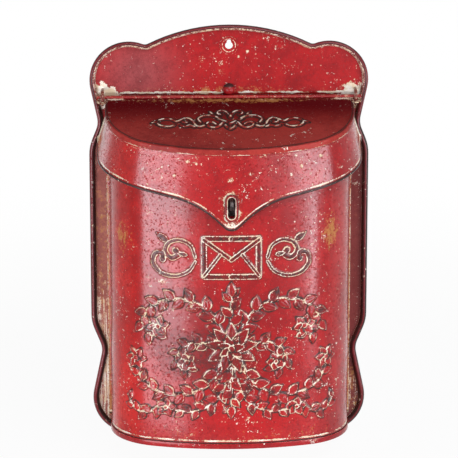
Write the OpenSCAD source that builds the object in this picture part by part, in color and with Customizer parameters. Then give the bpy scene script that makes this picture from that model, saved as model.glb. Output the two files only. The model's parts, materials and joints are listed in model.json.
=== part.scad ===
// Wall letter box of pressed sheet steel: a shaped back plate with a rolled rim, a bow-fronted body,
// and an envelope-flap lid that swings up on two wire loops. Millimetres, +Z up, front towards -Y.
// The wall is the plane y = 0, and the origin is the centre of the hanging hole on that plane.

/* [Back plate] */
// Width over the rolled rim
plate_w = 260; // [234:1:300]
// Height of the arch's top above the box floor
plate_top = 382; // [340:1:430]
// How far the lower lobes reach below the box floor
plate_drop = 14.5; // [14:0.5:20]
// Sheet thickness of the plate
plate_t = 1; // [0.8:0.1:1.6]
// Radius of the arch between the upper lobes
arch_r = 168; // [150:1:200]
// Radius of the flatter arch along the foot
foot_r = 400; // [300:10:600]
// Radius of the four corner lobes
lobe_r = 36.5; // [33:0.5:38]
// Distance of a lobe's centre from the plate's side
lobe_in = 37.5; // [36:0.5:40]
// Depth of the upper lobes' centres below the arch's top
lobe_top_drop = 52; // [48:1:56]
// Rise of the foot's arch above the lower lobes' lowest points, right over them
lobe_low_rise = 1.3; // [0.8:0.1:4]
// Radius in the cusps between arch and lobe
cusp_r = 6; // [3:0.5:10]
// How far the neck under a lobe leans inwards, in degrees
neck_lean = 12; // [9:0.5:14]
// Straight length of the neck under an upper lobe
neck_len = 28; // [24:0.5:31]
// Straight length of the neck above a lower lobe
neck_low_len = 36; // [28:0.5:38]
// Radius in the side notches
notch_r = 20; // [12:1:26]
// How far the edge leans outwards below a notch, in degrees
shoulder_lean = 22; // [18:1:26]
// Radius where the edge turns into the straight side
shoulder_r = 40; // [28:1:46]

/* [Rolled rim] */
// Width of the roll, seen from the front
rim_w = 5.6; // [4:0.2:8]
// Height of the roll above the wall
rim_h = 6; // [5:0.2:6.4]

/* [Hanging hole] */
// Depth of the hole's centre below the arch's top
hang_drop = 20; // [16:1:30]
// Radius of the round part, for a screw head
hang_r = 3.5; // [2.8:0.1:4.5]
// Width of the slot above it, for the screw's shank
hang_slot_w = 4; // [3:0.1:4.2]
// Height of the slot's end above the hole's centre
hang_slot_rise = 5.5; // [4.5:0.1:7]
// Radius of the pressed collar round the hole
collar_r = 8.4; // [7.6:0.1:10]
// How far the collar stands forward
collar_h = 0.6; // [0.3:0.1:1.2]

/* [Body] */
// Strip of plate that shows on each side of the body
body_margin = 19; // [18.5:0.5:24]
// Depth of the body from the wall
body_depth = 92; // [86:1:93]
// Corner radius in plan
body_corner_r = 55; // [45:1:60]
// Radius of the bowed front
body_front_r = 240; // [225:1:320]
// Sheet thickness of the body
body_t = 1; // [0.8:0.1:1.4]
// Width of the side flanges that are welded to the plate
flange_w = 3.2; // [2.4:0.1:3.5]
// Height at which the flanges start above the box floor, clear of the rim
flange_low = 4; // [3.5:0.5:20]
// How far the flanges stop below the hinge axis, clear of the loops
flange_drop = 14.5; // [10.5:0.5:30]
// How far the mouth lies below the lid's sheet
mouth_drop = 6; // [4:0.5:9]
// Height of the folded hem round the mouth
hem_h = 6; // [4:0.5:9]

/* [Bottom pan] */
// Thickness of the pan's sheet
pan_t = 1; // [0.8:0.1:1.4]
// Height of the lip outside the body
pan_lip_h = 5; // [3.5:0.5:8]

/* [Hinge] */
// Distance of the hinge axis from the wall
hinge_y = 8; // [7.9:0.1:9]
// Depth of the hinge axis below the plate's top
hinge_drop = 67.5; // [65:0.5:72]
// Radius of each loop to the middle of its wire
loop_r = 6; // [5.6:0.1:7]
// Radius of the loop wire
loop_wire_r = 1.5; // [1.2:0.1:1.7]
// Distance of each loop from the body's side
loop_out = 6; // [5.4:0.1:6.4]
// Radius of the rolled edge at the back of the lid
hinge_roll_r = 2.2; // [1.6:0.1:2.6]

/* [Lid] */
// Fall of the lid's top towards the front, in degrees
lid_slope = 18; // [15:0.5:20]
// Overhang of the lid's top at the body's sides
lid_side_over = 3.5; // [3:0.1:4]
// Overhang of the lid's top at the body's front
lid_front_over = 5.5; // [4.5:0.1:8]
// Sheet thickness of the lid
lid_t = 1; // [0.8:0.1:1.2]
// Height of the turned-down edge of the top
lid_edge_h = 5; // [4:0.5:7]
// Distance from the wall where the turned-down edge starts
lid_edge_back = 18.5; // [17.5:0.5:21]
// Radius of the hinge ears
ear_r = 5.2; // [4.6:0.1:6]
// Radius of the hole in each ear
ear_hole_r = 2.5; // [2.2:0.1:2.7]

/* [Flap] */
// Distance of the flared flap's foot from the body's sides
flap_side_over = 10.5; // [8:0.5:12]
// Distance of the flap's foot from the body's front
flap_front_over = 8.5; // [7.5:0.5:12]
// Distance from the wall to the flap's rear edges
flap_back = 19; // [18:0.5:24]
// Depth of the tongue's tip below the hinge axis
tongue_drop = 103.2; // [98:0.1:108]
// Radius of the tongue's tip
tongue_r = 9; // [7:0.5:11]
// Slope of the tongue's sides, in degrees
tongue_slope = 43; // [38:1:48]
// Straight length of the tongue's sides
tongue_side = 11; // [8:0.5:14]
// Radius of the sweep from the tongue into the long edges
sweep_r = 80; // [60:1:100]
// Slope of the long edges, in degrees
edge_slope = 11; // [9:0.5:13]
// Radius of the flap's lower rear corners
flap_round = 16; // [10:0.5:20]
// Height of the straight band behind the top's turned-down edge
flap_band_h = 6.5; // [5.5:0.5:9]
// Height of the folded hem along the flap's edge
flap_hem_h = 2.4; // [1.6:0.1:4]
// How far that hem stands proud
flap_hem_t = 0.7; // [0.4:0.1:1]

/* [Lock] */
// Height of the slot's centre above the tongue's tip
slot_rise = 21.4; // [19:0.1:24]
// Clear width of the slot
slot_w = 6; // [5:0.1:7]
// Clear height of the slot
slot_h = 19; // [18:0.1:21]
// Thickness of the eyelet's sleeve
eyelet_wall = 0.8; // [0.6:0.1:1.2]
// Width of the eyelet's rim
eyelet_rim = 3.2; // [2.4:0.1:3.6]
// How far the eyelet's rim stands proud
eyelet_h = 1.3; // [0.8:0.1:1.6]
// Height of the padlock eye above the slot's centre
staple_rise = 3.9; // [3.6:0.1:4.1]
// Outer radius of the padlock eye
staple_r = 5; // [4.4:0.1:5.2]
// Radius of the hole in the padlock eye
staple_hole_r = 2.3; // [1.8:0.1:2.5]
// Thickness of the padlock eye
staple_t = 2.8; // [2:0.1:3.4]
// Width of the staple's foot
staple_foot_w = 14; // [11:0.5:18]
// Height of the staple's foot
staple_foot_h = 26; // [24:0.5:30]
// Thickness of the staple's foot
staple_foot_t = 1.2; // [1:0.1:1.6]
// Radius of the rivets' shanks
rivet_r = 1.5; // [1.2:0.1:1.8]
// Radius of the rivets' heads
rivet_head_r = 2.8; // [2.4:0.1:3]
// Height of the rivets' heads
rivet_head_h = 1.2; // [0.8:0.1:1.6]

/* [Lid bumper] */
// Radius of the rubber dome
bumper_r = 5.8; // [5:0.1:6.4]
// Height of the dome's round collar
bumper_collar_h = 0.8; // [0.6:0.1:1.2]
// Height of the dome's centre above the hinge axis
bumper_rise = 6; // [5.6:0.1:7]
// Radius of the stem in the plate
bumper_stem_r = 2; // [1.5:0.1:2.6]

/* [Fits] */
// Clearance between welded or seated sheets
seat = 0.05; // [0.02:0.01:0.1]
// Clearance between the eyelet's flat rim and the bowed flap
eyelet_seat = 0.12; // [0.1:0.02:0.2]
// Clearance round pins, wires and stems in their holes
pin_fit = 0.06; // [0.03:0.01:0.12]
// Clearance of the opened lid from the bumper
stop_gap = 0.3; // [0.2:0.05:0.6]

/* [Hidden] */
$fn = 48;
red = "#a8242a";
dark_red = "#7d1f22";
steel = "#8b8681";
rubber = "#5a1a1c";

// Finest steps along the plate's outline, in degrees and in degrees times radius, and the number of steps
// along each part of the bowed walls
arc_step = 6;
chord_step = 520;
side_steps = 6;
corner_steps = 12;
front_steps = 16;

// Values that follow from the sizes above
lobe_x = plate_w / 2 - lobe_in;
lobe_top_z = plate_top - lobe_top_drop;
lobe_low_z = lobe_r - plate_drop;
foot_rise = foot_r - sqrt(foot_r * foot_r - lobe_x * lobe_x);
plate_foot = plate_drop + foot_rise - lobe_low_rise;
hang_z = plate_top - hang_drop;
hinge_z = plate_top - hinge_drop;
flange_top = hinge_z - flange_drop;
body_w = plate_w - 2 * body_margin;
loop_x = body_w / 2 + loop_out;
lid_w = body_w + 2 * lid_side_over;
lid_depth = body_depth + lid_front_over;
lid_corner_r = body_corner_r + lid_side_over;
lid_front_r = body_front_r + lid_front_over;
flap_w = body_w + 2 * flap_side_over;
flap_depth = body_depth + flap_front_over;
flap_corner_r = body_corner_r + flap_side_over;
flap_front_r = body_front_r + flap_front_over;
tongue_z = hinge_z - tongue_drop;
slot_z = tongue_z + slot_rise;
plate_mid = (lobe_top_z + lobe_low_z) / 2;
lobe_rise = (lobe_top_z - lobe_low_z) / 2;
plate_front = -plate_t;
rim_seat = plate_t + seat;
plate_inset = 0.26 * rim_w;
hinge = [0, -hinge_y, hinge_z];
sheet_half = lid_t / 2;
open_face_y = hinge_y - sheet_half;
bumper_h = open_face_y - plate_t - stop_gap;
far = 2 * (plate_top + plate_w);
rivet_pitch = staple_foot_h - 2 * (rivet_head_r + 0.6);
staple_z = slot_z + staple_rise;

function radial(a) = [cos(a), sin(a)];
function arc(c, r, a0, a1, n) = [for (i = [0:n]) c + r * radial(a0 + (a1 - a0) * i / n)];
function mirror_x(list) = [for (p = list) [-p[0], p[1]]];
function reversed(list) = [for (i = [len(list) - 1:-1:0]) list[i]];
function inner(list) = [for (i = [1:len(list) - 2]) list[i]];
function angle_to(a, b) = atan2(b[1] - a[1], b[0] - a[0]);

// Point at the distances r1 from a and r2 from b, on the left of the way from a to b
function meet(a, r1, b, r2) =
  let (d = norm(b - a), t = (d * d + r1 * r1 - r2 * r2) / (2 * d), u = (b - a) / d)
  a + t * u + sqrt(r1 * r1 - t * t) * [-u[1], u[0]];

// Right half of one end of the plate's outline, from the arch's top to the straight side, as tangent arcs
// [centre, radius, from, to, bulge], with bulge -1 where the edge is hollow. Heights are from the plate's
// middle, and rise is the height of the arch's top.
function end_arcs(rise, arch, neck) =
  let (
    lobe = [lobe_x, lobe_rise],
    crown = [0, rise - arch],
    cusp = meet(crown, arch + cusp_r, lobe, lobe_r + cusp_r),
    crown_end = angle_to(crown, cusp),
    lobe_start = angle_to(lobe, cusp),
    neck_out = radial(-neck_lean),
    neck_way = [-sin(neck_lean), -cos(neck_lean)],
    shoulder_out = radial(shoulder_lean),
    shoulder_way = [sin(shoulder_lean), -cos(shoulder_lean)],
    notch = lobe + lobe_r * neck_out + neck * neck_way + notch_r * neck_out,
    notch_end = notch - notch_r * shoulder_out,
    to_side = plate_w / 2 - notch_end[0] - shoulder_r * (1 - cos(shoulder_lean)),
    shoulder = notch_end + to_side / sin(shoulder_lean) * shoulder_way - shoulder_r * shoulder_out
  )
  [
    [crown, arch, 90, crown_end, 1],
    [cusp, cusp_r, crown_end + 180, lobe_start + 180, -1],
    [lobe, lobe_r, lobe_start, -neck_lean, 1],
    [notch, notch_r, 180 - neck_lean, 180 + shoulder_lean, -1],
    [shoulder, shoulder_r, shoulder_lean, 0, 1]
  ];

// Right half of the whole outline, clockwise from the top to the foot
plate_arcs = concat(
  end_arcs(plate_top - plate_mid, arch_r, neck_len),
  [
    for (a = reversed(end_arcs(plate_mid + plate_foot, foot_r, neck_low_len)))
      [[a[0][0], -a[0][1]], a[1], -a[3], -a[2], a[4]]
  ]
);

// Point of an arc at an angle, set in by d
function on_arc(a, angle, d) = a[0] + (a[1] - a[4] * d) * radial(angle);

// True where an arc starts at the end of the one before it, with no straight between them
function runs_on(k) =
  k > 0 && norm(arc_start(plate_arcs[k]) - arc_end(plate_arcs[k - 1])) < 0.01;
function arc_start(a) = on_arc(a, a[2], 0);
function arc_end(a) = on_arc(a, a[3], 0);

// The whole outline, set in by d, as [x, z] from the plate's middle
function plate_outline(d) =
  let (
    half = [
      for (k = [0:len(plate_arcs) - 1])
        let (
          a = plate_arcs[k],
          turn = abs(a[3] - a[2]),
          n = ceil(max(turn / arc_step, turn * a[1] / chord_step))
        )
        for (i = [runs_on(k) ? 1 : 0:n]) on_arc(a, a[2] + (a[3] - a[2]) * i / n, d)
    ]
  )
  concat(half, inner(mirror_x(reversed(half))));

// Bowed plan of the box, from the right rear end round the front to the left rear end: straight sides,
// two corner arcs and one wide front arc that runs into them
function bow(w, depth, corner, front, back) =
  let (
    straight = bow_straight(w, depth, corner, front),
    turn = acos((w / 2 - corner) / (front - corner)),
    side = [for (i = [0:side_steps - 1]) [w / 2, -back - (straight - back) * i / side_steps]],
    bend = arc([w / 2 - corner, -straight], corner, 0, -turn, corner_steps),
    half_front = arc([0, front - depth], front, -turn, -90, front_steps),
    half = concat(side, bend, [for (i = [1:front_steps]) half_front[i]])
  )
  concat(half, [for (i = [len(half) - 2:-1:0]) [-half[i][0], half[i][1]]]);

function bow_straight(w, depth, corner, front) =
  sqrt(pow(front - corner, 2) - pow(w / 2 - corner, 2)) - (front - depth);

// Outward normals at the same stations as bow()
function bow_normals(w, corner, front) =
  let (
    turn = acos((w / 2 - corner) / (front - corner)),
    side = [for (i = [0:side_steps - 1]) [1, 0]],
    bend = [for (i = [0:corner_steps]) radial(-turn * i / corner_steps)],
    half_front = [for (i = [1:front_steps]) radial(-turn - (90 - turn) * i / front_steps)],
    half = concat(side, bend, half_front)
  )
  concat(half, [for (i = [len(half) - 2:-1:0]) [-half[i][0], half[i][1]]]);

// The bows of the body, the lid's top and the flap's foot, set in by d
function body_bow(d, back) = bow(body_w - 2 * d, body_depth - d, body_corner_r - d, body_front_r - d, back);
function lid_bow(d, back) = bow(lid_w - 2 * d, lid_depth - d, lid_corner_r - d, lid_front_r - d, back);
function flap_bow(back) = bow(flap_w, flap_depth, flap_corner_r, flap_front_r, back);
function strip(outer_path, inner_path) = concat(outer_path, reversed(inner_path));

// Height of the lid sheet's middle plane at a distance from the wall
function lid_plane_z(y) = hinge_z - (y - hinge_y) * tan(lid_slope);

module in_frame() {
  translate([0, 0, -hang_z]) children();
}

// Stands a drawing of [x, z] up against the wall, h thick towards the front
module on_wall(h) {
  rotate([90, 0, 0]) linear_extrude(h) children();
}

// A layer parallel to the lid's sheet, between two depths below the hinge axis
module lid_layer(from, to) {
  translate(hinge) rotate([lid_slope, 0, 0])
    translate([-far / 2, -far / 2, -to]) cube([far, far, to - from]);
}

module obround(w, h) {
  square([w, h - w], center = true);
  for (s = [-1, 1]) translate([0, s * (h - w) / 2]) circle(d = w);
}

// Closed skin through rings of points, one ring per station: a loop, or a strip with both ends capped
module skin(rings, loop) {
  n = len(rings[0]);
  m = len(rings);
  end = (m - 1) * n;
  sides = [
    for (i = [0:loop ? m - 1 : m - 2], k = [0:n - 1])
      let (a = i * n + k, b = i * n + (k + 1) % n, c = (a + n) % (m * n), d = (b + n) % (m * n))
      each [[a, b, c], [b, d, c]]
  ];
  caps = loop ? [] : [
    for (k = [0:n / 2 - 2])
      each [
        [k, n - 1 - k, n - 2 - k],
        [k, n - 2 - k, k + 1],
        [end + k, end + k + 1, end + n - 2 - k],
        [end + k, end + n - 2 - k, end + n - 1 - k]
      ]
  ];
  polyhedron(points = [for (ring = rings) each ring], faces = concat(sides, caps), convexity = 10);
}

// Flat back plate with the hanging hole in its pressed collar, and the holes for loops and bumper
module back_plate() {
  color(red) difference() {
    union() {
      translate([0, 0, plate_mid]) on_wall(plate_t) polygon(plate_outline(plate_inset));
      translate([0, 0, hang_z]) on_wall(plate_t + collar_h) circle(collar_r);
    }
    translate([0, 1, hang_z]) on_wall(plate_t + collar_h + 2) {
      circle(hang_r);
      translate([-hang_slot_w / 2, 0]) square([hang_slot_w, hang_slot_rise - hang_slot_w / 2]);
      translate([0, hang_slot_rise - hang_slot_w / 2]) circle(hang_slot_w / 2);
    }
    for (side = [-1, 1], level = [-1, 1])
      translate([side * loop_x, 1, hinge_z + level * loop_r])
        on_wall(plate_t + 2) circle(loop_wire_r + pin_fit);
    translate([0, 1, hinge_z + bumper_rise]) on_wall(plate_t + 2) circle(bumper_stem_r + pin_fit);
  }
}

// Rolled band along the plate's edge. Its section is drawn as [set-in, distance from the wall].
module rim_band() {
  section = [
    [rim_w, rim_seat], [0.94 * rim_w, 0.42 * rim_h], [0.76 * rim_w, 0.85 * rim_h], [0.47 * rim_w, rim_h],
    [0.18 * rim_w, 0.9 * rim_h], [0, 0.62 * rim_h], [0.06 * rim_w, 0.32 * rim_h], [plate_inset, rim_seat]
  ];
  loops = [for (s = section) plate_outline(s[0])];
  color(dark_red) skin([
    for (i = [0:len(loops[0]) - 1])
      [for (k = [0:len(section) - 1]) [loops[k][i][0], -section[k][1], plate_mid + loops[k][i][1]]]
  ], true);
}

// Half ring of wire with two straight legs that end flush in the plate
module hinge_loop(side) {
  color(dark_red) translate([side * loop_x, 0, 0]) translate(hinge) {
    rotate([0, 90, 0]) rotate([0, 0, 180])
      rotate_extrude(angle = 180) translate([loop_r, 0]) circle(loop_wire_r);
    for (level = [-1, 1])
      translate([0, 0, level * loop_r]) rotate([-90, 0, 0]) cylinder(r = loop_wire_r, h = hinge_y - seat);
  }
}

// Rubber dome that the opened lid leans on, pushed into the plate by its stem
module lid_bumper() {
  cap_h = bumper_h - bumper_collar_h - seat;
  ball_r = (pow(bumper_r, 2) + pow(cap_h, 2)) / (2 * cap_h);
  color(rubber) translate([0, 0, hinge_z + bumper_rise]) rotate([90, 0, 0]) {
    translate([0, 0, seat]) cylinder(r = bumper_stem_r, h = plate_t + bumper_collar_h);
    translate([0, 0, plate_t + seat]) cylinder(r = bumper_r, h = bumper_collar_h);
    translate([0, 0, plate_t + seat + bumper_collar_h]) intersection() {
      translate([0, 0, cap_h - ball_r]) sphere(ball_r);
      cylinder(r = bumper_r + 1, h = cap_h + 1);
    }
  }
}

// Bow-fronted wall with side flanges, a slanting mouth and a folded hem inside it
module body_shell() {
  rear = plate_t + seat;
  floor_z = pan_t + seat;
  color(red) difference() {
    union() {
      intersection() {
        translate([0, 0, floor_z]) linear_extrude(plate_top)
          polygon(strip(body_bow(0, rear), body_bow(body_t, rear)));
        lid_layer(mouth_drop, far / 2);
      }
      intersection() {
        linear_extrude(plate_top)
          polygon(strip(body_bow(body_t / 2, rear + body_t), body_bow(2 * body_t, rear + body_t)));
        lid_layer(mouth_drop, mouth_drop + hem_h);
      }
      for (side = [-1, 1])
        translate([side * (body_w + flange_w - body_t) / 2, -rear - body_t / 2, (flange_top + flange_low) / 2])
          cube([flange_w + body_t, body_t, flange_top - flange_low], center = true);
    }
    staple_rivet_places() translate([0, -body_t, 0]) rotate([90, 0, 0])
      cylinder(r = rivet_r + pin_fit, h = 4 * body_t, center = true);
  }
}

// Shallow pan that closes the body from below, with its lip turned up outside the wall
module bottom_pan() {
  rear = plate_t + body_t + 2 * seat;
  lip = -seat - pan_t;
  color(red) {
    linear_extrude(pan_t) polygon(body_bow(lip, rear));
    linear_extrude(pan_lip_h) polygon(strip(body_bow(lip, rear), body_bow(-seat, rear)));
  }
}

// Puts its children on the body's front, at each rivet of the staple's foot
module staple_rivet_places() {
  for (level = [-1, 1])
    translate([0, -body_depth + body_t, staple_z + level * rivet_pitch / 2]) children();
}

// The flap's front at the slot: its slant, and its distance from the wall at a height on the middle line
flap_top_z = lid_plane_z(lid_depth - lid_t - seat) - sheet_half / cos(lid_slope) - seat;
flap_knee_z = flap_top_z - flap_band_h;
flap_top_depth = lid_depth - lid_t - seat;
flap_slant = atan((flap_depth - flap_top_depth) / (flap_knee_z - tongue_z));
function flap_face_y(z) = flap_top_depth + (flap_knee_z - z) * tan(flap_slant);
eye_y = flap_face_y(slot_z) + eyelet_h + staple_hole_r + 0.5;

// Padlock eye on edge, with a flat foot that is riveted to the body's front
module lock_staple() {
  foot_y = body_depth + seat;
  reach = eye_y - foot_y;
  color(steel) difference() {
    union() {
      translate([-staple_t / 2, -foot_y - reach, staple_z - staple_r]) cube([staple_t, reach, 2 * staple_r]);
      translate([0, -eye_y, staple_z]) rotate([0, 90, 0]) cylinder(r = staple_r, h = staple_t, center = true);
      translate([-staple_foot_w / 2, -foot_y - staple_foot_t, staple_z - staple_foot_h / 2])
        cube([staple_foot_w, staple_foot_t, staple_foot_h]);
    }
    translate([0, -eye_y, staple_z]) rotate([0, 90, 0])
      cylinder(r = staple_hole_r, h = staple_t + 2, center = true);
    staple_rivet_places() rotate([90, 0, 0])
      cylinder(r = rivet_r + pin_fit, h = 4 * (body_t + staple_foot_t), center = true);
  }
}

// Two round-headed rivets through the staple's foot and the body
module staple_rivets() {
  grip = body_t + staple_foot_t + 3 * seat;
  color(steel) staple_rivet_places() rotate([90, 0, 0]) translate([0, 0, -seat]) {
    cylinder(r = rivet_r, h = grip);
    translate([0, 0, -rivet_head_h]) cylinder(r1 = rivet_head_r * 0.6, r2 = rivet_head_r, h = rivet_head_h);
    translate([0, 0, grip]) cylinder(r1 = rivet_head_r, r2 = rivet_head_r * 0.6, h = rivet_head_h);
  }
}

// Sloping top of the lid: bowed sheet, turned-down edge, rolled rear edge and two pierced hinge ears
module lid_panel() {
  color(dark_red) difference() {
    union() {
      intersection() {
        translate([0, 0, hang_z / 2]) linear_extrude(hang_z) polygon(lid_bow(0, hinge_y));
        lid_layer(-sheet_half, sheet_half);
      }
      intersection() {
        translate([0, 0, hang_z / 2]) linear_extrude(hang_z)
          polygon(strip(lid_bow(0, lid_edge_back), lid_bow(lid_t, lid_edge_back)));
        lid_layer(-sheet_half, lid_edge_h);
      }
      translate(hinge) rotate([lid_slope, 0, 0]) {
        rotate([0, 90, 0]) cylinder(r = hinge_roll_r, h = 2 * (loop_x + ear_r), center = true);
        for (side = [-1, 1])
          translate([side * loop_x, 0, -sheet_half]) linear_extrude(lid_t) {
            translate([0, -loop_r]) circle(ear_r);
            translate([-ear_r, -loop_r]) square([2 * ear_r, loop_r]);
          }
      }
    }
    translate(hinge) rotate([lid_slope, 0, 0]) for (side = [-1, 1])
      translate([side * loop_x, -loop_r, 0]) cylinder(r = ear_hole_r, h = 4 * lid_t, center = true);
  }
}

// Height of the flap's lower edge at a distance s from the middle, measured along the sheet
function flap_edge_z(s, s_end) =
  let (
    tip_s = tongue_r * sin(tongue_slope),
    tip_z = tongue_z + tongue_r * (1 - cos(tongue_slope)),
    side_s = tip_s + tongue_side * cos(tongue_slope),
    side_z = tip_z + tongue_side * sin(tongue_slope),
    sweep_s = side_s + sweep_r * (sin(tongue_slope) - sin(edge_slope)),
    sweep_z = side_z + sweep_r * (cos(edge_slope) - cos(tongue_slope)),
    round_s = max(0, s - (s_end - flap_round)),
    turned = asin(min(1, max(sin(edge_slope), sin(tongue_slope) - (s - side_s) / sweep_r)))
  )
  (s < tip_s ? tongue_z + tongue_r - sqrt(tongue_r * tongue_r - s * s)
  : s < side_s ? tip_z + (s - tip_s) * tan(tongue_slope)
  : s < sweep_s ? side_z + sweep_r * (cos(turned) - cos(tongue_slope))
  : sweep_z + (s - sweep_s) * tan(edge_slope))
  + flap_round - sqrt(max(0, flap_round * flap_round - round_s * round_s));

// Distances along a path of points from its middle
function from_middle(path) =
  let (
    m = (len(path) - 1) / 2,
    steps = [for (i = [0:m - 1]) norm(path[i + 1] - path[i])],
    sums = [for (i = 0, t = 0; i <= m; t = t + (i < m ? steps[m - 1 - i] : 0), i = i + 1) t]
  )
  [for (i = [0:len(path) - 1]) sums[abs(i - m)]];

// Flared envelope flap that hangs from the lid's top, with a folded hem and a pointed tongue
module lid_apron() {
  top_in = lid_t + seat;
  head = lid_bow(top_in, flap_back);
  foot = flap_bow(flap_back);
  out = bow_normals(lid_w - 2 * top_in, lid_corner_r - top_in, lid_front_r - top_in);
  s = from_middle(foot);
  rings = [
    for (i = [0:len(head) - 1])
      let (
        top_z = lid_plane_z(-head[i][1]) - sheet_half / cos(lid_slope) - seat,
        knee_z = top_z - flap_band_h,
        low_z = flap_edge_z(s[i], s[0]),
        hem_z = low_z + flap_hem_h,
        levels = [top_z, knee_z, hem_z + flap_hem_t, hem_z, low_z + flap_hem_t, low_z],
        proud = [0, 0, 0, flap_hem_t, flap_hem_t, 0],
        flare = [for (z = levels) max(0, (knee_z - z) / (knee_z - low_z))],
        plan = [for (f = flare) head[i] + f * (foot[i] - head[i])]
      )
      concat(
        [for (k = [0:5]) [each plan[k] + proud[k] * out[i], levels[k]]],
        [for (k = [5:-1:0]) [each plan[k] - lid_t * out[i], levels[k]]]
      )
  ];
  color(red) difference() {
    skin(rings, false);
    at_slot(0) translate([0, 0, -4 * lid_t]) linear_extrude(8 * lid_t)
      obround(slot_w + 2 * eyelet_wall, slot_h + 2 * eyelet_wall);
  }
}

// Drawing plane on the flap's outer face at the slot, raised by h, with +Z out of the face
module at_slot(h) {
  translate([0, -flap_face_y(slot_z), slot_z]) rotate([90 - flap_slant, 0, 0])
    translate([0, 0, h]) children();
}

// Raised rim round the slot, with a sleeve through the flap
module slot_eyelet() {
  sleeve = lid_t + eyelet_seat + 2 * seat;
  color(red) at_slot(eyelet_seat) {
    difference() {
      linear_extrude(eyelet_h) obround(slot_w + 2 * eyelet_rim, slot_h + 2 * eyelet_rim);
      translate([0, 0, -1]) linear_extrude(eyelet_h + 2) obround(slot_w, slot_h);
    }
    translate([0, 0, -sleeve]) difference() {
      linear_extrude(sleeve + eyelet_h / 2)
        obround(slot_w + 2 * (eyelet_wall - seat), slot_h + 2 * (eyelet_wall - seat));
      translate([0, 0, -1]) linear_extrude(sleeve + eyelet_h + 2) obround(slot_w, slot_h);
    }
  }
}

in_frame() back_plate();
in_frame() rim_band();
in_frame() hinge_loop(-1);  // hinge_loop_left
in_frame() hinge_loop(1);  // hinge_loop_right
in_frame() lid_bumper();
in_frame() body_shell();
in_frame() bottom_pan();
in_frame() lock_staple();
in_frame() staple_rivets();
in_frame() lid_panel();
in_frame() lid_apron();
in_frame() slot_eyelet();
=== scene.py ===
import json
import math

import bpy
import numpy as np
from mathutils import Matrix, Vector


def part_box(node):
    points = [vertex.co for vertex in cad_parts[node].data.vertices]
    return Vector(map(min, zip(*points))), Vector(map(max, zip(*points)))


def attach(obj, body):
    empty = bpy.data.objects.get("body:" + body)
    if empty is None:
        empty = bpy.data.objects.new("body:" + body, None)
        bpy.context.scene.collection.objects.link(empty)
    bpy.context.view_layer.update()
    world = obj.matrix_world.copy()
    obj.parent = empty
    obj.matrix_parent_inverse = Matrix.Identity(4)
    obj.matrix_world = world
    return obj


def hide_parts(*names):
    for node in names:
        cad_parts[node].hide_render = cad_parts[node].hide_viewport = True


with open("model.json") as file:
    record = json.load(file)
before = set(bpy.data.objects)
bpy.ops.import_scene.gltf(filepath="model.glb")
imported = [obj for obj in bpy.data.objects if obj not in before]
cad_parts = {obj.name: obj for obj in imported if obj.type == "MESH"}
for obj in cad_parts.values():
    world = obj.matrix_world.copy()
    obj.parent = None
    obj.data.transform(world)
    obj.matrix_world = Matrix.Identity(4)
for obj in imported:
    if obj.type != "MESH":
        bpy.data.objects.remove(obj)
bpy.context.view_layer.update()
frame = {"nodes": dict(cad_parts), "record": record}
nodes = frame["nodes"]
scene = bpy.context.scene

# BACK PLATE
# A lobed sheet of pressed steel, 1 mm thick, flat against the wall, with a keyhole in a shallow collar.
# Sprayed red over cream primer, then rubbed back and glazed with charcoal, so that primer and rust show.
MM = 0.001
PRIMER_CREAM = (0.91, 0.85, 0.73, 1)
PRIMER_TAN = (0.73, 0.57, 0.38, 1)
RUST_OCHRE = (0.47, 0.22, 0.06, 1)
RUBBED_BROWN = (0.40, 0.16, 0.08, 1)
PIT_MAROON = (0.10, 0.012, 0.010, 1)
SHADE_MAROON = (0.10, 0.003, 0.005, 1)
CHARCOAL_GLAZE_AND_SHADE = (0.030, 0.020, 0.018, 1)
PLATE_RED = (0.41, 0.009, 0.011, 1)
# Painted sheen: the left lobe and the left strip are lighter and pinker where the plate's sheen lies.
LEFT_LOBE_PAINTED_SHEEN = (0.29, 0.080, 0.082, 1)
LEFT_STRIP_PAINTED_SHEEN = (0.50, 0.190, 0.150, 1)
RIGHT_STRIP_BROWN = (0.18, 0.042, 0.038, 1)


def add(tree, kind, sockets=(), **settings):
    """A shader node whose sockets are linked or set."""
    made = tree.nodes.new("ShaderNode" + kind)
    for key, value in settings.items():
        setattr(made, key, value)
    for key, value in dict(sockets).items():
        if isinstance(value, bpy.types.NodeSocket):
            tree.links.new(value, made.inputs[key])
        else:
            made.inputs[key].default_value = value
    return made


def calc(tree, operation, a, b=0.0):
    return add(tree, "Math", {0: a, 1: b}, operation=operation).outputs[0]


def times(tree, a, b):
    return calc(tree, "MULTIPLY", a, b)


def blend(tree, *parts):
    """The sum of values, each times its weight."""
    total = None
    for value, weight in parts:
        part = times(tree, value, weight)
        total = part if total is None else calc(tree, "ADD", total, part)
    return total


def most(tree, *values):
    """The greatest of the values."""
    top = values[0]
    for value in values[1:]:
        top = calc(tree, "MAXIMUM", top, value)
    return top


def ramp(tree, value, low, high):
    """0 up to low, 1 from high on, and smooth between them; low may be the greater one."""
    sockets = {"Value": value, "From Min": low, "From Max": high}
    return add(tree, "MapRange", sockets, interpolation_type="SMOOTHSTEP").outputs["Result"]


def band(tree, value, centre, half):
    """1 where a value is near a centre, falling to 0 at half away from it."""
    return ramp(tree, calc(tree, "ABSOLUTE", calc(tree, "SUBTRACT", value, centre)), half, 0.3 * half)


def vector(tree, operation, a, b=(0, 0, 0)):
    return add(tree, "VectorMath", {0: a, 1: b}, operation=operation).outputs[0]


def measure(tree, operation, a, b=(0, 0, 0)):
    """A vector's length, or the distance or dot product of two."""
    return add(tree, "VectorMath", {0: a, 1: b}, operation=operation).outputs["Value"]


def mix(tree, factor, a, b):
    return add(tree, "Mix", {0: factor, 6: a, 7: b}, data_type="RGBA").outputs[2]


def noise(tree, at, scale, detail=3.0, rough=0.55):
    sockets = {"Vector": at, "Scale": scale, "Detail": detail, "Roughness": rough}
    return add(tree, "TexNoise", sockets).outputs["Fac"]


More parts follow.
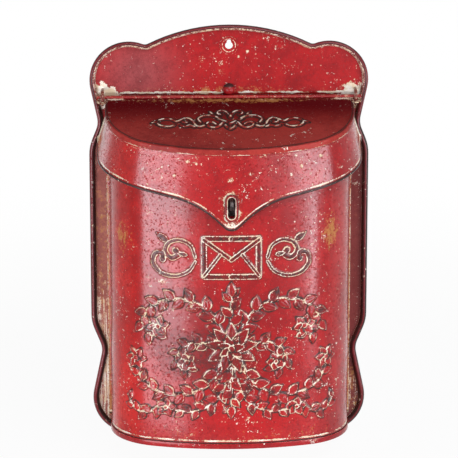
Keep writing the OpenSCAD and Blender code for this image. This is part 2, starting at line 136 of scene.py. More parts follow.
def shader_group(name, inputs, outputs):
    """A node group, with the sockets that it takes and the node that it gives its results to."""
    tree = bpy.data.node_groups.new(name, "ShaderNodeTree")
    for label, kind, default in inputs:
        socket = tree.interface.new_socket(label, in_out="INPUT", socket_type="NodeSocket" + kind)
        socket.default_value = default
    for label, kind in outputs:
        tree.interface.new_socket(label, in_out="OUTPUT", socket_type="NodeSocket" + kind)
    return tree, tree.nodes.new("NodeGroupInput").outputs, tree.nodes.new("NodeGroupOutput")


# Scattered flecks: a share of the cells of a pattern hold one each, of varied size.
flecks, given, result = shader_group(
    "flecks",
    [
        ("Vector", "Vector", (0, 0, 0)),
        ("Scale", "Float", 200.0),
        ("Share", "Float", 0.1),
        ("Size", "Float", 0.2),
    ],
    [("Mask", "Float")],
)
cells = add(flecks, "TexVoronoi", {"Vector": given["Vector"], "Scale": given["Scale"]}).outputs
lot = add(flecks, "SeparateColor", {0: cells["Color"]}).outputs
chosen = calc(flecks, "LESS_THAN", lot["Red"], given["Share"])
size = times(flecks, given["Size"], blend(flecks, (lot["Green"], 0.75), (1.0, 0.25)))
spot = ramp(flecks, calc(flecks, "DIVIDE", cells["Distance"], size), 1.0, 0.6)
spot = times(flecks, spot, blend(flecks, (lot["Blue"], 0.5), (1.0, 0.5)))
flecks.links.new(times(flecks, chosen, spot), result.inputs["Mask"])

# Rubbed paint: worn through to primer, stained ochre, pitted and flecked, with charcoal glaze in hollows; the
# same charcoal also paints shade where a material asks for it.
# Its patterns are in cells per metre, and each material takes another stretch of them by its shift.
rubbed, given, result = shader_group(
    "rubbed_paint",
    [
        ("Paint", "Color", (0.45, 0.016, 0.018, 1)),
        ("Rub", "Float", 0.0),
        ("Soot", "Float", 0.0),
        ("Rust", "Float", 0.05),
        ("Fleck", "Float", 0.5),
        ("Pits", "Float", 0.5),
        ("Shift", "Float", 0.0),
    ],
    [("Color", "Color"), ("Roughness", "Float"), ("Gloss", "Float"), ("Height", "Float")],
)


def scatter(at, scale, share, reach):
    sockets = {"Vector": at, "Scale": scale, "Share": share, "Size": reach}
    return add(rubbed, "Group", sockets, node_tree=flecks).outputs["Mask"]


at = vector(rubbed, "ADD", add(rubbed, "TexCoord").outputs["Object"], given["Shift"])
wobble = add(rubbed, "TexNoise", {"Vector": at, "Scale": 700.0, "Detail": 2.0}).outputs["Color"]
wobble = vector(rubbed, "SUBTRACT", wobble, (0.5, 0.5, 0.5))
loose = vector(rubbed, "ADD", at, vector(rubbed, "MULTIPLY", wobble, (2.2 * MM, 2.2 * MM, 2.2 * MM)))
upright = add(rubbed, "Mapping", {"Vector": at, "Scale": (420, 420, 24)}).outputs[0]
broad = noise(rubbed, at, 10)
cloud = noise(rubbed, at, 75, 5, 0.62)
grain = noise(rubbed, at, 340, 4, 0.65)
dust = noise(rubbed, at, 1100, 2)
streak = noise(rubbed, upright, 1.0)
swarm = ramp(rubbed, noise(rubbed, at, 34, 4), 0.48, 0.68)

tone = ramp(rubbed, blend(rubbed, (broad, 0.36), (cloud, 0.26), (grain, 0.20), (dust, 0.18)), 0.42, 0.57)
stained = [(given["Rust"], 1.0), (cloud, 0.7), (streak, 0.5), (grain, 1.3), (dust, 0.4), (1.0, -1.45)]
stain = ramp(rubbed, blend(rubbed, *stained), 0.42, 0.72)
worn = blend(rubbed, (given["Rub"], 1.0), (grain, 0.9), (cloud, 0.45), (dust, 0.7), (1.0, -1.025))
chips = ramp(rubbed, worn, 0.53, 0.61)
halo = ramp(rubbed, worn, 0.36, 0.56)
few = times(rubbed, given["Fleck"], blend(rubbed, (swarm, 0.34), (1.0, 0.04)))
many = times(rubbed, given["Fleck"], blend(rubbed, (swarm, 0.44), (1.0, 0.15)))
crumbs = blend(rubbed, (noise(rubbed, at, 230, 7, 0.78), 1.0), (swarm, 0.055), (given["Fleck"], 0.03))
crumbs = ramp(rubbed, crumbs, 0.655, 0.70)
bare = most(rubbed, chips, scatter(loose, 125.0, few, 0.15), scatter(loose, 330.0, many, 0.25), crumbs)
pitted = ramp(rubbed, blend(rubbed, (cloud, 0.5), (broad, 0.5)), 0.32, 0.50)
pitted = times(rubbed, given["Pits"], pitted)
pits = most(rubbed, scatter(loose, 270.0, pitted, 0.33), scatter(loose, 520.0, pitted, 0.60))
# Charcoal glaze, which some materials also use as painted shade.
dark = ramp(rubbed, blend(rubbed, (given["Soot"], 1.0), (grain, 0.8), (1.0, -0.4)), 0.25, 0.75)

primer = ramp(rubbed, blend(rubbed, (cloud, 0.6), (grain, 0.4)), 0.42, 0.58)
primer = mix(rubbed, primer, PRIMER_CREAM, PRIMER_TAN)
colour = mix(rubbed, tone, mix(rubbed, 0.48, given["Paint"], SHADE_MAROON), given["Paint"])
layers = [
    (stain, 0.75, RUST_OCHRE),
    (halo, 0.5, RUBBED_BROWN),
    (pits, 0.46, PIT_MAROON),
    (dark, 0.94, CHARCOAL_GLAZE_AND_SHADE),
    (bare, 0.95, primer),
]
for mask, cover, coat in layers:
    colour = mix(rubbed, times(rubbed, mask, cover), colour, coat)
rough = blend(rubbed, (1.0, 0.18), (dust, 0.10), (pits, 0.3), (bare, 0.3), (stain, 0.2), (dark, 0.12))
gloss = blend(rubbed, (1.0, 0.80), (dust, 0.40), (pits, -1.2), (bare, -0.7), (stain, -0.4), (dark, -0.6))
high = blend(rubbed, (grain, 0.25), (cloud, 0.2), (dust, 0.55), (bare, -0.5), (pits, -0.8))
results = {"Color": colour, "Roughness": rough, "Gloss": most(rubbed, gloss, 0.05), "Height": high}
for label, value in results.items():
    rubbed.links.new(value, result.inputs[label])

# Share of a broken edge at a point, from how far a rounded normal turns away from the face's own.
worn_edge, given, result = shader_group("worn_edge", [("Reach", "Float", 0.001)], [("Edge", "Float")])
face = add(worn_edge, "NewGeometry").outputs["Normal"]
rounded = add(worn_edge, "Bevel", {"Radius": given["Reach"]}, samples=6).outputs["Normal"]
turn = measure(worn_edge, "DOT_PRODUCT", face, rounded)
worn_edge.links.new(ramp(worn_edge, turn, 0.985, 0.80), result.inputs["Edge"])


def edges(tree, reach, strength):
    """Wear along a solid's edges, reaching some mm from them."""
    made = add(tree, "Group", {"Reach": reach * MM}, node_tree=worn_edge)
    return times(tree, made.outputs["Edge"], strength)


def stored(label):
    """A mask that is held in the mesh."""
    return lambda tree: add(tree, "Attribute", attribute_name=label).outputs["Fac"]


def part_place(tree):
    """A point's place in mm from the hanging hole, as a whole and by axis."""
    at = vector(tree, "MULTIPLY", add(tree, "TexCoord").outputs["Object"], (1 / MM, 1 / MM, 1 / MM))
    return at, add(tree, "SeparateXYZ", {0: at}).outputs


def in_front(tree):
    """1 on faces that look away from the wall."""
    normal = add(tree, "NewGeometry").outputs["Normal"]
    return ramp(tree, add(tree, "SeparateXYZ", {0: normal}).outputs["Y"], -0.2, -0.6)


def paint(name, shift, lacquer=0.4, sheen=0.12, **coats):
    """A material of rubbed paint. Each coat is a value, or a function that builds it in the tree."""
    made = bpy.data.materials.new(name)
    made.use_nodes = True
    tree = made.node_tree
    shader = tree.nodes["Principled BSDF"]
    sockets = {label.title(): value(tree) if callable(value) else value for label, value in coats.items()}
    coat = add(tree, "Group", {**sockets, "Shift": shift}, node_tree=rubbed).outputs
    relief = add(tree, "Bump", {"Height": coat["Height"], "Strength": 0.6, "Distance": 0.13 * MM})
    lacquer = lacquer(tree) if callable(lacquer) else lacquer
    tree.links.new(coat["Color"], shader.inputs["Base Color"])
    tree.links.new(coat["Roughness"], shader.inputs["Roughness"])
    tree.links.new(relief.outputs["Normal"], shader.inputs["Normal"])
    tree.links.new(times(tree, coat["Gloss"], lacquer), shader.inputs["Coat Weight"])
    shader.inputs["Coat Roughness"].default_value = 0.2
    shader.inputs["Specular IOR Level"].default_value = sheen
    return made


def dress(node, material, bevel=0.25, angle=35):
    """Gives a solid its finish, with softly broken edges."""
    piece = nodes[node]
    piece.data.polygons.foreach_set("use_smooth", [True] * len(piece.data.polygons))
    weld = piece.modifiers.new("weld", "WELD")
    weld.merge_threshold = 0.001 * MM
    if bevel:
        broken = piece.modifiers.new("broken_edges", "BEVEL")
        broken.width = bevel * MM
        broken.segments = 2
        broken.limit_method = "ANGLE"
        broken.angle_limit = math.radians(angle)
    split = piece.modifiers.new("split", "EDGE_SPLIT")
    split.split_angle = math.radians(angle)
    piece.data.materials.clear()
    piece.data.materials.append(material)


def plate_colour(tree):
    """Red, with a painted sheen on the front of the left lobe and left strip, and darker on the right strip.
    """
    at, place = part_place(tree)
    front = in_front(tree)
    low = times(tree, ramp(tree, place["Z"], -60, -100), front)
    left = times(tree, ramp(tree, place["X"], -103, -112), low)
    right = times(tree, ramp(tree, place["X"], 103, 112), low)
    lobe = times(tree, ramp(tree, measure(tree, "DISTANCE", at, (-84, 0, -26)), 62, 0), front)
    colour = mix(tree, times(tree, lobe, 0.7), PLATE_RED, LEFT_LOBE_PAINTED_SHEEN)
    colour = mix(tree, times(tree, left, 0.85), colour, LEFT_STRIP_PAINTED_SHEEN)
    return mix(tree, times(tree, right, 0.85), colour, RIGHT_STRIP_BROWN)


def plate_rub(tree):
    """Worn on the hinge line, by the loops, round the keyhole, in knocks and low down at both sides."""
    at, place = part_place(tree)
    across, up = place["X"], place["Z"]
    uneven = ramp(tree, noise(tree, at, 0.06), 0.30, 0.60)
    jitter = blend(tree, (noise(tree, at, 0.14, 5, 0.7), 1.0), (1.0, -0.5))
    hinge_line = band(tree, blend(tree, (up, 1.0), (jitter, 4)), -44.5, 1.6)
    hinge_line = times(tree, hinge_line, blend(tree, (uneven, 0.45), (1.0, 0.42)))
    specks = times(tree, band(tree, up, -43, 7), blend(tree, (uneven, 0.14), (1.0, 0.22)))
    side = calc(tree, "ABSOLUTE", across)
    beside_loop = ramp(tree, blend(tree, (side, 1.0), (up, -0.5), (jitter, 36)), 121.8, 129.0)
    loop_height = ramp(tree, band(tree, blend(tree, (up, 1.0), (jitter, 26)), -47.6, 16), 0.0, 0.6)
    corner = times(tree, times(tree, beside_loop, loop_height), 0.86)
    keyhole = band(tree, measure(tree, "LENGTH", at), 6.3, 0.7)
    keyhole = times(tree, keyhole, blend(tree, (uneven, 0.2), (1.0, 0.42)))
    streaks = noise(tree, add(tree, "Mapping", {"Vector": at, "Scale": (0.7, 0.7, 0.03)}).outputs[0], 1.0)
    strip = times(tree, ramp(tree, across, -108, -117), ramp(tree, up, -140, -300))
    strip = times(tree, strip, times(tree, ramp(tree, streaks, 0.22, 0.58), 0.80))
    lobe = times(tree, ramp(tree, across, 110, 116), band(tree, up, -338, 34))
    lobe = times(tree, lobe, times(tree, ramp(tree, streaks, 0.36, 0.60), 0.60))
    worn = [hinge_line, specks, corner, keyhole, strip, lobe]
    knocks = [
        (-26, -13, 9, 0.50),
        (-8, -17, 7, 0.55),
        (-7, -26, 9, 0.46),
        (17, -6, 4, 0.75),
        (9, -11, 3, 0.70),
    ]
    for x, z, reach, strength in knocks:
        gap = measure(tree, "DISTANCE", at, (x, -1.6, z))
        worn.append(times(tree, ramp(tree, gap, reach, 0), strength))
    return most(tree, times(tree, most(tree, *worn), in_front(tree)), edges(tree, 0.8, 0.5))


def plate_rust(tree):
    """Stained behind the bumper, down both strips, more on the left, and on the right lower lobe."""
    place = part_place(tree)[1]
    side = calc(tree, "ABSOLUTE", place["X"])
    low = times(tree, ramp(tree, side, 108, 116), ramp(tree, place["Z"], -80, -160))
    left = times(tree, low, ramp(tree, place["X"], 20, -20))
    middle = times(tree, band(tree, place["Z"], -42.5, 7), ramp(tree, side, 100, 20))
    lobe = times(tree, ramp(tree, place["X"], 107, 113), band(tree, place["Z"], -335, 50))
    stained = blend(tree, (low, 0.16), (left, 0.22), (middle, 0.44), (lobe, 0.30))
    return blend(tree, (times(tree, stained, in_front(tree)), 1.0), (1.0, 0.03))


def plate_fleck(tree):
    """Fewer flecks on the left lobe."""
    return blend(tree, (ramp(tree, part_place(tree)[1]["X"], -75, -35), 0.65), (1.0, 0.25))


def plate_hinge_shade(tree):
    """Painted shade in the corner under the hinge line."""
    line = times(tree, band(tree, part_place(tree)[1]["Z"], -47.2, 1.6), in_front(tree))
    return times(tree, line, 0.85)


plate_wear = dict(rub=plate_rub, rust=plate_rust, soot=plate_hinge_shade, fleck=plate_fleck, pits=0.4)
plate_paint = paint("plate_paint", 0.0, 0.5, paint=plate_colour, **plate_wear)
dress("back_plate", plate_paint, 0)

# RIM BAND
# The plate's edge, rolled forward into a hollow bead about 6 mm thick. Its crest is rubbed to maroon; its
# inner flank is pale round the top, partly rubbed to cream and partly a painted highlight, and carries
# painted shade down the sides, as does its outer side down the right.
RIM_MAROON = (0.20, 0.020, 0.024, 1)
PLATE_MIDDLE = 186


def rim_facing(tree):
    """1 on the roll's outer side and -1 on its inner one, a point's place, and 1 round the plate's top."""
    at, place = part_place(tree)
    outward = vector(tree, "MULTIPLY", vector(tree, "ADD", at, (0, 0, PLATE_MIDDLE)), (1, 0, 1))
    normal = add(tree, "NewGeometry").outputs["Normal"]
    facing = measure(tree, "DOT_PRODUCT", normal, vector(tree, "NORMALIZE", outward))
    return facing, place, ramp(tree, place["Z"], -66, -46)


def rim_shade_and_dark_lines(tree):
    # Painted shade on the inner flank down the sides and on the outer side down the right; dark lines on a
    # seam round the top and along the outer edge.
    facing, place, upper = rim_facing(tree)
    lower = calc(tree, "SUBTRACT", 1.0, upper)
    right = times(tree, ramp(tree, place["X"], 60, 120), lower)
    inner = times(tree, ramp(tree, facing, 0.05, -0.35), blend(tree, (lower, 0.98), (right, -0.35)))
    seam = times(tree, times(tree, band(tree, facing, 0.10, 0.22), upper), 0.8)
    shade = times(tree, times(tree, ramp(tree, facing, 0.15, 0.55), right), 0.75)
    return most(tree, inner, seam, shade, ramp(tree, facing, 0.68, 0.92))


def rim_rub(tree):
    facing, place, upper = rim_facing(tree)
    foot = times(tree, ramp(tree, facing, -0.35, -0.75), ramp(tree, place["Y"], -2.1, -1.4))
    crest = times(tree, band(tree, facing, 0.25, 0.5), ramp(tree, place["Y"], -4.8, -5.8))
    # Round the top the inner flank is pale: partly rubbed primer, partly a painted highlight.
    pale = times(tree, ramp(tree, facing, -0.02, -0.30), upper)
    return most(tree, times(tree, foot, 0.72), times(tree, crest, 0.26), times(tree, pale, 0.55))


rim_paint = paint("rim_paint", 3.1, paint=RIM_MAROON, rub=rim_rub, soot=rim_shade_and_dark_lines, rust=0.18)
dress("rim_band", rim_paint, 0, 60)

# HINGE LOOPS
# Two U-shaped staples of 3 mm wire, pushed through the plate, sprayed with the box and worn by the ears.
WIRE_MAROON = (0.16, 0.020, 0.018, 1)
wire_paint = paint("wire_paint", 5.7, paint=WIRE_MAROON, rub=0.45, soot=0.25, rust=0.35)
for side in ("left", "right"):
    dress("hinge_loop_" + side, wire_paint, 0)

# LID BUMPER
# A rubber dome on a stem through the plate, sprayed with the box and worn dark where the lid leans on it.
BUMPER_RED = (0.36, 0.012, 0.014, 1)


def bumper_soot(tree):
    return times(tree, ramp(tree, part_place(tree)[1]["Z"], -41, -37), 0.8)


bumper = paint("bumper_rubber", 7.3, paint=BUMPER_RED, soot=bumper_soot, fleck=0.2, pits=0.2)
dress("lid_bumper", bumper, 0)

# BODY SHELL
# One sheet of 1 mm steel bent to a bowed front, with narrow flanges spot-welded to the plate and a rolled
# mouth. Its front is embossed: an envelope between scrolls, and below it a rosette with leafy vines.


def corners(node):
    """A solid's lowest and highest corners, in mm from the hanging hole."""
    return [np.round(np.array(corner) / MM, 3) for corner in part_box(node)]


FLOOR = np.array([0, 0, -corners("bottom_pan")[0][2]])
HINGE = np.array(frame["record"]["behaviour"]["joints"][0]["pos_m"]) / MM + FLOOR
LID_TILT = math.radians(18)
SHEET_T = 1.0
WELD_GAP = 0.05
FLANGE_W = 3.2
FLANGE_Y = -(2 * SHEET_T + WELD_GAP)
FLANGE_LOW = 4
FLANGE_TOP = 300
WALL_FOOT = SHEET_T + WELD_GAP
WALL_REAR = 3.4
BODY_HALF = corners("body_shell")[1][0] - FLANGE_W
BODY_DEPTH = -corners("body_shell")[0][1]
BODY_CORNER = 55
BODY_FRONT = 240
MOUTH_DROP = 6
MOUTH_REAR = 1.2
MOUTH_ROLL_R = 1.1
MOUTH_ROLL_DROP = 0.9
BODY_RED = (0.42, 0.008, 0.010, 1)
LEFT_CORNER_PAINTED_LIGHT_RED = (0.56, 0.018, 0.014, 1)
INSIDE_RED = (0.34, 0.010, 0.012, 1)


def bow(rear, counts, side=0.0, ahead=0.0):
    """The body's bowed plan, grown at the sides and in front, from left rear to right rear.

    Its rows are x, y, normal x, normal y and the length from the middle.
    """
    half, corner = BODY_HALF + side, BODY_CORNER + side
    depth, front = BODY_DEPTH + ahead, BODY_FRONT + ahead
    spread = math.asin((half - corner) / (front - corner))
    straight = math.sqrt((front - corner) ** 2 - (half - corner) ** 2) - (front - depth)
    a = spread * np.linspace(0, 1, counts[0] + 1)
    b = spread + (math.pi / 2 - spread) * np.linspace(0, 1, counts[1] + 1)[1:]
    y = -straight + (straight - rear) * np.linspace(0, 1, counts[2] + 1)[1:]
    bend = front * spread + corner * (b - spread)
    bend_x = half - corner + corner * np.sin(b)
    bend_y = -straight - corner * np.cos(b)
    right = np.vstack(
        [
            np.c_[front * np.sin(a), front - depth - front * np.cos(a), np.sin(a), -np.cos(a), front * a],
            np.c_[bend_x, bend_y, np.sin(b), -np.cos(b), bend],
            np.c_[np.full(len(y), half), y, np.ones(len(y)), np.zeros(len(y)), bend[-1] + y + straight],
        ]
    )
    return np.vstack([right[:0:-1] * [-1, 1, -1, 1, -1], right])


def under_lid(y, drop):
    """Height at a depth y of what lies a drop below the middle of the lid's sheet."""
    return HINGE[2] + (y - HINGE[1]) * math.tan(LID_TILT) - drop


def mouth_z(y):
    return under_lid(y, MOUTH_DROP / math.cos(LID_TILT))


def hill(value, centre, width):
    """1 at a centre, falling away smoothly over a width."""
    return np.exp(-(((value - centre) / width) ** 2))


def sheet(name, body, rows, marks, material, skip=None, lining=None):
    """A bent sheet from a grid of points in mm above the box floor, with masks per point.

    A lined one has a sheet's thickness and another finish inside. skip leaves faces of the grid open.
    """
    high, wide = rows.shape[:2]
    index = np.arange(high * wide).reshape(high, wide)
    faces = np.stack([index[:-1, :-1], index[:-1, 1:], index[1:, 1:], index[1:, :-1]], -1).reshape(-1, 4)
    if skip is not None:
        faces = faces[~skip.reshape(-1)]
    used, faces = np.unique(faces, return_inverse=True)
    faces = faces.reshape(-1, 4)
    mesh = bpy.data.meshes.new(name)
    mesh.from_pydata(((rows.reshape(-1, 3) - FLOOR) * MM)[used].tolist(), [], faces.tolist())
    mesh.polygons.foreach_set("use_smooth", [True] * len(faces))
    for label, values in marks.items():
        held = mesh.attributes.new(label, "FLOAT", "POINT")
        values = np.broadcast_to(values, (high, wide)).reshape(-1)[used]
        held.data.foreach_set("value", values.astype(np.float32))
    mesh.materials.append(material)
    made = bpy.data.objects.new(name, mesh)
    scene.collection.objects.link(made)
    if lining:
        mesh.materials.append(lining)
        wall = made.modifiers.new("wall", "SOLIDIFY")
        wall.thickness = SHEET_T * MM
        wall.offset = -1
        wall.material_offset = 1
    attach(made, body)
    return made


def smooth_path(points, steps=10):
    """A curve through the points."""
    p = np.array(points, float)
    p = np.vstack([2 * p[0] - p[1], p, 2 * p[-1] - p[-2]])
    t = np.linspace(0, 1, steps, endpoint=False)[:, None]
    out = []
    for a, b, c, d in zip(p[:-3], p[1:-2], p[2:-1], p[3:]):
        square = (2 * a - 5 * b + 4 * c - d) * t**2
        cube = (3 * b - a - 3 * c + d) * t**3
        out.append(0.5 * (2 * b + (c - a) * t + square + cube))
    return np.vstack(out + [p[-2:-1]])


class Emboss:
    """Raised work on a sheet: its height, the glaze left on and beside it, whose foot is partly painted
    shade, and where it is rubbed bare.

    A style gives the height in mm, the strength of the glaze at the foot and on the face, and that of the
    rub on the outline and the crest.
    """

    def __init__(self, across, along):
        self.at = np.stack([across, along], -1)
        self.high = np.zeros(across.shape)
        self.soot = np.zeros(across.shape)
        self.rub = np.zeros(across.shape)

    def press(self, where, share, depth, height, foot, face, outline, crest, spread=0.9, vein=0.0):
        """share rises from 0 at the outline to 1 at the crest, depth is the distance inside it in mm."""
        inside = depth > 0
        dome = np.sqrt(np.clip(1 - (1 - np.clip(share, 0, 1)) ** 2, 0, 1))
        soot = np.where(inside, self.soot[where] * 0.35, self.soot[where])
        soot = np.maximum(soot, foot * hill(depth, -0.7, spread))
        soot = np.maximum(soot, np.where(inside, face * np.clip(share * 3, 0, 1), 0))
        rub = np.where(inside, self.rub[where] * 0.3, self.rub[where])
        rub = np.maximum(rub, outline * hill(depth, 0.5, 0.8))
        rub = np.maximum(rub, crest * np.clip(share * 2.2 - 0.4, 0, 1))
        self.high[where] = np.maximum(self.high[where], height * (dome - vein))
        self.soot[where] = np.maximum(soot, vein * 2.4)
        self.rub[where] = rub

    def near(self, low, high, margin):
        low, high = np.array(low) - margin, np.array(high) + margin
        return np.where(((self.at >= low) & (self.at <= high)).all(-1))

    def stroke(self, path, w0, w1, style):
        """A rounded line whose half width runs from w0 to w1."""
        path = np.array(path, float)
        where = self.near(path.min(0), path.max(0), max(w0, w1) + 4)
        p = self.at[where]
        best = np.full(len(p), 1e9)
        share = np.zeros(len(p))
        for k, (a, b) in enumerate(zip(path[:-1], path[1:])):
            d = b - a
            f = np.clip(((p - a) @ d) / max(d @ d, 1e-9), 0, 1)
            gap = np.hypot(*(p - a - f[:, None] * d).T)
            closer = gap < best
            best = np.where(closer, gap, best)
            share = np.where(closer, (k + f) / (len(path) - 1), share)
        width = w0 + (w1 - w0) * share
        self.press(where, 1 - best / width, width - best, **style)

    def leaf(self, base, angle, length, width, style):
        """A pointed leaf or petal with a pressed vein."""
        where = self.near(np.array(base) - length, np.array(base) + length, 4)
        d = self.at[where] - np.array(base)
        way = np.array([math.cos(math.radians(angle)), math.sin(math.radians(angle))])
        u = (d @ way) / length
        v = np.abs(d @ np.array([-way[1], way[0]]))
        half = width * np.sin(math.pi * np.clip(u, 0, 1) ** 0.75) ** 0.85
        past = np.where(u < 0, -u, np.where(u > 1, u - 1, 0)) * length
        depth = np.where(past > 0, -np.hypot(past, v), half - v)
        share = np.where(past > 0, 0, 1 - v / np.maximum(half, 0.05))
        vein = 0.3 * hill(v, 0, 0.5) * (depth > 0) * np.clip(u * 6, 0, 1) * np.clip((1 - u) * 4, 0, 1)
        self.press(where, share, depth, vein=vein, **style)

    def blossom(self, centre, radius, petals, turn, style):
        """A ring of petals round a raised eye."""
        for k in range(petals):
            self.leaf(centre, turn + 360 * k / petals, radius, radius * 2.1 / petals, style)
        eye = np.array(centre, float)
        eye_r = 0.24 * radius
        self.stroke([eye, eye + 0.01], eye_r, eye_r, {**style, "height": 1.3 * style["height"]})

    def vine(self, points, width, leaf_every, leaf_size, first, style):
        """A tapering stem through the points, with leaves on alternate sides."""
        path = smooth_path(points, 8)
        self.stroke(path, width, 0.5 * width, style)
        way = np.diff(path, axis=0)
        for k, i in enumerate(range(leaf_every // 2, len(way), leaf_every)):
            angle = math.degrees(math.atan2(way[i, 1], way[i, 0])) + (first if k % 2 else -first) * 46
            size = leaf_size * (1 - 0.3 * i / len(way))
            outline = style["outline"] * (0.8 + 0.2 * (k % 2))
            worn = {**style, "face": 0.25 + 0.18 * (k % 3), "outline": outline}
            self.leaf(path[i], angle, size, size * 0.33, worn)


# The plan of the wall ends in two folds: rows of x past the wall, y, normal and length past the wall.
plan = bow(WALL_REAR, (92, 60, 8))
fold = np.array(
    [
        [0.25, -2.6, 0.8, -0.6, 0.9],
        [0.9, -2.1, 0.1, -1, 1.7],
        [1.6, FLANGE_Y, 0, -1, 2.4],
        [FLANGE_W, FLANGE_Y, 0, -1, 4.0],
    ]
)
fold += [BODY_HALF, 0, 0, 0, plan[-1, 4]]
wall_end = plan[-1, 4]
plan = np.vstack([fold[::-1] * [-1, 1, -1, 1, -1], plan, fold])
flange_end = plan[-1, 4]

# Rows of the grid are level up to the top of the embossed field; from there they spread to the sloping mouth.
FIELD_TOP = 214
levels = np.r_[WALL_FOOT, 2.5, np.arange(4, 10, 0.6), 10.2, np.arange(12, 22, 2)]
levels = np.r_[levels, np.arange(22, FIELD_TOP + 0.1, 0.8)]
rise = np.linspace(0, 1, 20)[1:, None]
z = np.repeat(levels[:, None], len(plan), 1)
z = np.vstack([z, FIELD_TOP + rise * (mouth_z(plan[:, 1]) - FIELD_TOP)])
s = np.repeat(plan[None, :, 4], len(z), 0)

work = Emboss(s, z)
sign = dict(height=1.1, foot=0.55, face=0.60, outline=0.76, crest=0.0)
foliage = dict(height=1.8, foot=0.85, face=0.30, outline=0.80, crest=0.25, spread=1.2)
envelope = [
    ([(0, 202), (25, 202), (25, 166), (0, 166)], 2.7),
    ([(25, 201), (0, 182)], 2.2),
    ([(25, 167), (10, 187)], 1.8),
]
scrolls = [
    ([(33, 184), (37, 195), (47, 200), (57, 197), (60.5, 189), (55, 183), (49, 186), (51, 190)], 3.3),
    ([(33, 180), (39, 171), (51, 166), (64, 168), (72, 177), (70, 186), (63.5, 187), (63, 181)], 3.0),
]
vines = [
    ([(8, 112), (18, 130), (36, 142), (58, 143), (76, 134), (83, 119), (75, 108), (65, 112)], 1.8, 15, 1),
    ([(14, 98), (30, 103), (45, 98), (51, 86), (44, 76), (36, 80)], 1.6, 12, -1),
    ([(9, 84), (18, 66), (36, 54), (60, 52), (80, 60), (90, 75)], 1.8, 15, 1),
    ([(4, 78), (7, 60), (18, 44), (36, 36), (54, 37)], 1.5, 13, -1),
]
blossoms = [((68, 117), 11, 6, 15), ((41, 84), 9, 5, 40), ((90, 84), 11, 6, 0)]
for m in (-1, 1):
    flip = np.array([m, 1])
    for points, half_w in envelope:
        work.stroke(np.array(points) * flip, half_w, half_w, sign)
    for points, half_w in scrolls:
        work.stroke(smooth_path(points) * flip, 1.5, half_w, sign)
    work.leaf(np.array((58, 198)) * flip, 90 - m * 55, 14, 3.4, sign)
    work.leaf(np.array((40, 186)) * flip, 90 - m * 80, 10, 2.4, sign)
    for points, half_w, leaf_size, first in vines:
        work.vine(np.array(points) * flip, half_w, 3, leaf_size, first * m, foliage)
    for centre, radius, petals, turned in blossoms:
        work.blossom(np.array(centre) * flip, radius, petals, turned, foliage)
    work.vine(np.array([(66, 41), (78, 33), (91, 34), (100, 46)]) * flip, 1.4, 4, 12, m, foliage)
    work.blossom(np.array((61, 39)) * flip, 9.5, 5, 10, foliage)
work.vine([(0, 118), (0, 130), (0, 142), (0, 150)], 1.6, 5, 14, 1, foliage)
work.vine([(0, 78), (0, 64), (0, 50), (0, 40)], 1.6, 5, 14, 1, foliage)
work.leaf((0, 148), 90, 13, 4, foliage)
work.leaf((0, 42), -90, 12, 4, foliage)
work.blossom((0, 98), 25, 9, 90, foliage)
work.blossom((0, 98), 13, 7, 60, {**foliage, "height": 2.0})
broken = np.sin(s * 0.33 + z * 0.21) * np.sin(z * 0.37 - s * 0.19 + 1)
leafy = np.clip((163 - z) / 3, 0, 1)
work.rub *= 1 - leafy * (0.14 - 0.26 * broken)
work.soot *= 1 - leafy * (0.22 + 0.25 * broken)
rows = np.stack([plan[:, 0] + plan[:, 2] * work.high, plan[:, 1] + plan[:, 3] * work.high, z], -1)

# Wear of the wall: rubbed by the hinge, at the flanges and above the pan; glazed over the vines, more to the
# left, and at the flanges; a painted shadow line along the pan's lip and painted shade behind the slot;
# stained by flanges and pan and in two patches.
from_flange = flange_end - np.abs(s)
uneven = 0.75 + 0.25 * np.sin(s * 0.21 + 2) * np.sin(s * 0.083)
rub = np.maximum.reduce(
    [
        work.rub,
        0.66 * hill(from_flange, 0, 7) * np.clip((z - 284) / 8, 0, 1),
        0.66 * hill(from_flange, 0, 1.2),
        0.36 * hill(from_flange, 9, 5),
        0.9 * uneven * hill(z, 7.5, 1.3),
    ]
)
soot = np.maximum.reduce(
    [
        work.soot,
        0.50 * np.exp(-(((s + 26) / 64) ** 4) - ((z - 90) / 34) ** 4),
        0.6 * hill(from_flange, 3.4, 1.6),
        # painted shadow line along the pan's lip
        hill(z, 5.2, 0.9),
        # painted shade behind the slot, seen through it
        0.9 * hill(s, 0, 6) * hill(z, 233, 12),
    ]
)
rust = sum(
    [
        0.05,
        0.42 * hill(from_flange, 10, 12),
        0.50 * hill(from_flange, 0.4, 1.8),
        0.70 * hill(np.hypot(s - 96, (z - 203) * 0.62), 0, 13.04),
        0.55 * hill(np.hypot(s + 107, (z - 197) * 0.7), 0, 13.78),
        0.26 * hill(z, 12, 10),
    ]
)
middle_z = (z[:-1, :-1] + z[1:, :-1]) / 2
on_flange = np.abs(s[:-1, :-1] + s[1:, 1:]) / 2 > wall_end
skip = on_flange & ((middle_z > FLANGE_TOP) | (middle_z < FLANGE_LOW))


def body_lacquer(tree):
    """Dulled round the left corner."""
    return blend(tree, (band(tree, part_place(tree)[1]["X"], -95, 16), -0.45), (1.0, 0.74))


def body_colour(tree):
    """Red, brighter round the left corner as painted light."""
    return mix(tree, ramp(tree, part_place(tree)[1]["X"], -70, -102), BODY_RED, LEFT_CORNER_PAINTED_LIGHT_RED)


masks = dict(rub=stored("rub"), soot=stored("soot"), rust=stored("rust"))
body_paint = paint("body_paint", 11.9, body_lacquer, paint=body_colour, fleck=0.9, pits=1.0, **masks)
inner_paint = paint("inner_paint", 12.7, 0.3, paint=INSIDE_RED, rust=0.14, rub=0.06, fleck=0.35)
marks = {"rub": rub, "soot": soot, "rust": rust}
shell = sheet("body_wall", "box", rows, marks, body_paint, skip, inner_paint)
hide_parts("body_shell")

